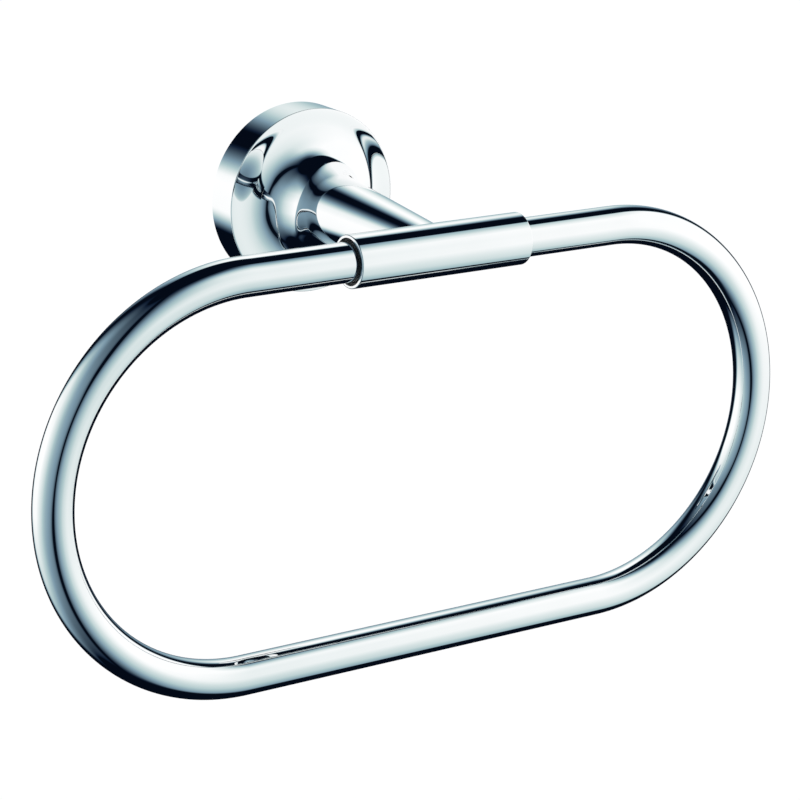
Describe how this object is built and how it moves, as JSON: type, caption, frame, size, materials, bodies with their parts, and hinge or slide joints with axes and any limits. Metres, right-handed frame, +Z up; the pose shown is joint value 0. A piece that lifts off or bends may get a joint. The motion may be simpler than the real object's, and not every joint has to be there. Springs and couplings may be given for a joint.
{
  "type": "towel ring",
  "caption": "Wall-mounted towel ring: an oval loop of round tube that swings in a sleeve on a tapering post, which flares out into a round flange.",
  "frame": {"origin": "centre of the flange where it meets the wall", "axes": "+Z up, +X to the right for someone who faces the wall, +Y into the wall"},
  "size_m": [0.241, 0.0823, 0.1445],
  "materials": {
    "chrome_plate": "polished chrome plate",
    "zinc_plated_steel": "dull zinc plate",
    "black_steel": "black oxide",
    "nylon": "matt moulded nylon",
    "bare_brass": "turned brass"
  },
  "bodies": {
    "holder": {"mounting_plate": "zinc_plated_steel", "flanged_post": "chrome_plate", "grub_screw": "black_steel", "sleeve": "chrome_plate", "left_bush": "nylon", "right_bush": "nylon"},
    "ring": {"ring": "chrome_plate", "ring_joiner": "bare_brass"}
  },
  "joints": [
    {"name": "ring_swing", "type": "hinge", "parent": "holder", "child": "ring", "pos_m": [0, -0.075, 0], "axis": [-1, 0, 0], "range_deg": [-38, 218]}
  ]
}
